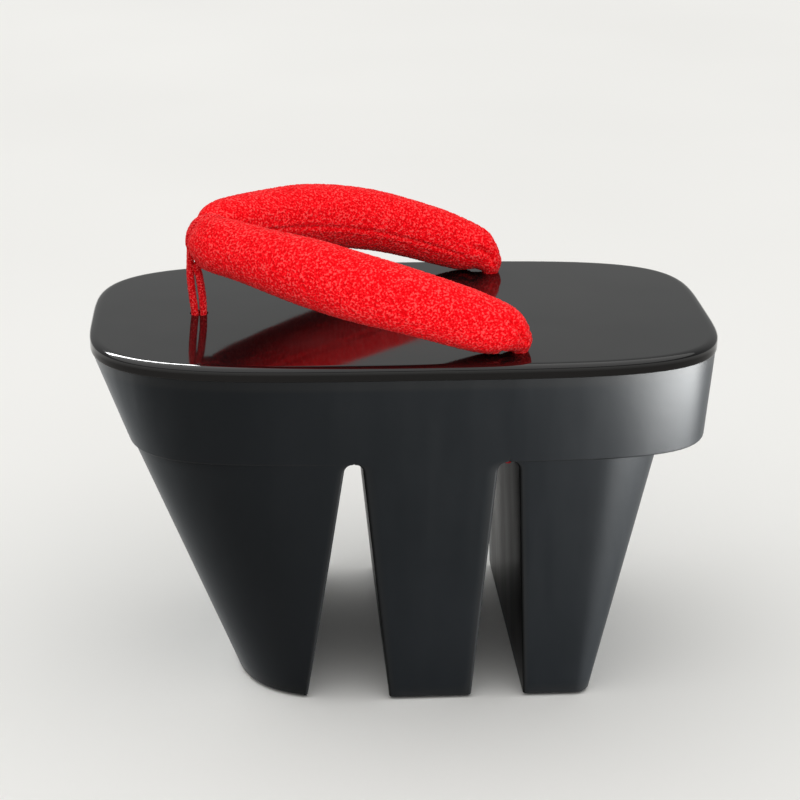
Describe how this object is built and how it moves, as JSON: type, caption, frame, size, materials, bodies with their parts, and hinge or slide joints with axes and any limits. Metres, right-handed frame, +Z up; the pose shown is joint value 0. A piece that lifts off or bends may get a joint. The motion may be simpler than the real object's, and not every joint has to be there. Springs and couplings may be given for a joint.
{
  "type": "geta sandal",
  "caption": "Tall wooden sandal with a lacquered deck on three tapering teeth, and a thick padded thong strap held at the toe by a cloth loop.",
  "frame": {"origin": "on the floor under the middle of the deck", "axes": "+X to the toe, +Y to the left when looking to the toe, +Z up"},
  "size_m": [0.25, 0.135, 0.1888],
  "materials": {
    "deck_lacquer": "black high-gloss lacquer",
    "body_lacquer": "black satin lacquer",
    "pad_rubber": "matt rubber",
    "strap_plush": "red crepe plush over padding",
    "loop_cloth": "red folded cloth",
    "knot_cord": "red cord"
  },
  "bodies": {
    "root": {"deck_board": "deck_lacquer", "sole_block": "body_lacquer", "front_tooth": "body_lacquer", "middle_tooth": "body_lacquer", "rear_tooth": "body_lacquer", "front_pad": "pad_rubber", "middle_pad": "pad_rubber", "rear_pad": "pad_rubber", "strap": "strap_plush", "toe_loop": "loop_cloth", "front_knot": "knot_cord", "left_knot": "knot_cord", "right_knot": "knot_cord"}
  },
  "joints": []
}
